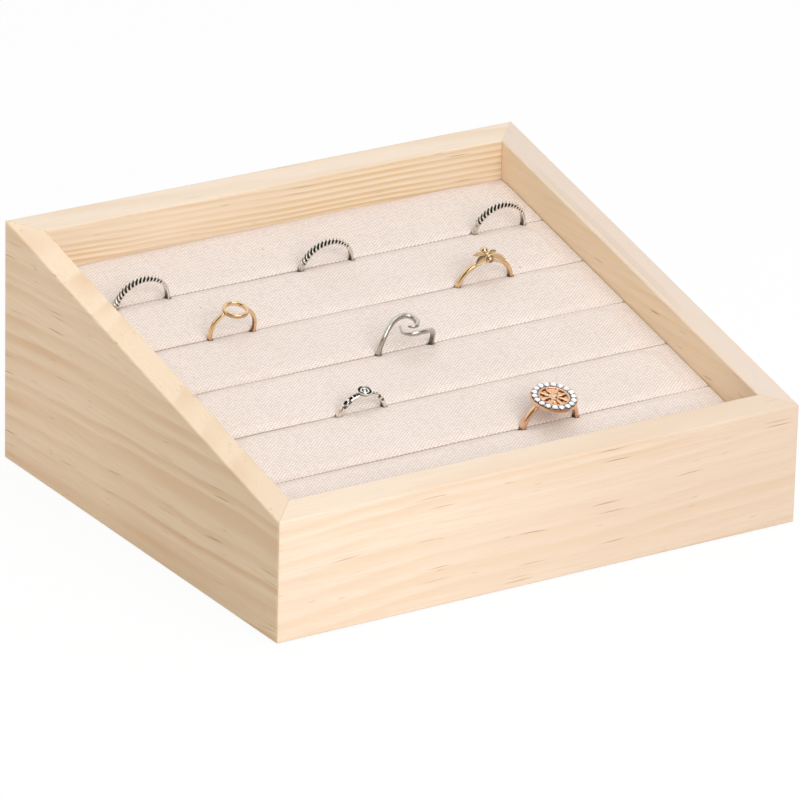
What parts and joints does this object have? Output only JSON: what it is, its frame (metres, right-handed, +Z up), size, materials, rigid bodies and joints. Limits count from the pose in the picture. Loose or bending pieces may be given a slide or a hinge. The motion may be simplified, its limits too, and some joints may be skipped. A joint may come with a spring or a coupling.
{
  "type": "ring display box",
  "caption": "Sloped wooden display box with a lift-out pad of linen-covered foam rolls; finger rings stand upright in the slots between the rolls and pull straight out.",
  "frame": {"origin": "middle of the underside, on the surface that the box stands on", "axes": "+X to the viewer's right along the front board, +Y towards the taller back, +Z up"},
  "size_m": [0.18, 0.1574, 0.0764],
  "materials": {
    "pine": "matte",
    "plywood": "matte",
    "brad_steel": "satin",
    "grey_board": "matte",
    "foam": "matte",
    "linen": "matte",
    "oxidised_silver": "satin",
    "brushed_silver": "satin",
    "gold": "satin",
    "rose_gold": "gloss",
    "crystal": "gloss"
  },
  "bodies": {
    "case": {"front_board": "pine", "back_board": "pine", "left_board": "pine", "right_board": "pine", "bottom_panel": "plywood", "bottom_brads": "brad_steel", "shelf": "plywood", "left_cleat": "pine", "right_cleat": "pine"},
    "insert": {"insert_base": "grey_board", "foam_roll_1": "foam", "foam_roll_2": "foam", "foam_roll_3": "foam", "foam_roll_4": "foam", "foam_roll_5": "foam", "foam_roll_6": "foam", "linen_cover_1": "linen", "linen_cover_2": "linen", "linen_cover_3": "linen", "linen_cover_4": "linen", "linen_cover_5": "linen", "linen_cover_6": "linen"},
    "rope_ring_left": {"rope_ring_left": "oxidised_silver"},
    "rope_ring_middle": {"rope_ring_middle": "oxidised_silver"},
    "rope_ring_right": {"rope_ring_right": "oxidised_silver"},
    "circle_ring": {"circle_ring_shank": "gold", "circle_ring_head": "gold"},
    "flower_ring": {"flower_ring_shank": "gold", "flower_ring_flower": "gold", "flower_ring_leaves": "gold"},
    "wave_ring": {"wave_ring": "brushed_silver"},
    "target_ring": {"target_ring_shank": "oxidised_silver", "target_ring_boss": "oxidised_silver"},
    "halo_ring": {"halo_ring_shank": "rose_gold", "halo_ring_setting": "rose_gold", "halo_ring_rosette": "rose_gold", "halo_ring_crystals": "crystal"}
  },
  "joints": [
    {"name": "insert_lift", "type": "slide", "parent": "case", "child": "insert", "axis": [0, 0, 1], "range_m": [0, 0.05]},
    {"name": "rope_ring_left_pull", "type": "slide", "parent": "insert", "child": "rope_ring_left", "axis": [0, -0.2404, 0.9707], "range_m": [0, 0.03]},
    {"name": "rope_ring_middle_pull", "type": "slide", "parent": "insert", "child": "rope_ring_middle", "axis": [0, -0.2404, 0.9707], "range_m": [0, 0.03]},
    {"name": "rope_ring_right_pull", "type": "slide", "parent": "insert", "child": "rope_ring_right", "axis": [0, -0.2404, 0.9707], "range_m": [0, 0.03]},
    {"name": "circle_ring_pull", "type": "slide", "parent": "insert", "child": "circle_ring", "axis": [0, -0.2404, 0.9707], "range_m": [0, 0.03]},
    {"name": "flower_ring_pull", "type": "slide", "parent": "insert", "child": "flower_ring", "axis": [0, -0.2404, 0.9707], "range_m": [0, 0.03]},
    {"name": "wave_ring_pull", "type": "slide", "parent": "insert", "child": "wave_ring", "axis": [0, -0.2404, 0.9707], "range_m": [0, 0.03]},
    {"name": "target_ring_pull", "type": "slide", "parent": "insert", "child": "target_ring", "axis": [0, -0.2404, 0.9707], "range_m": [0, 0.03]},
    {"name": "halo_ring_pull", "type": "slide", "parent": "insert", "child": "halo_ring", "axis": [0, -0.2404, 0.9707], "range_m": [0, 0.03]}
  ]
}
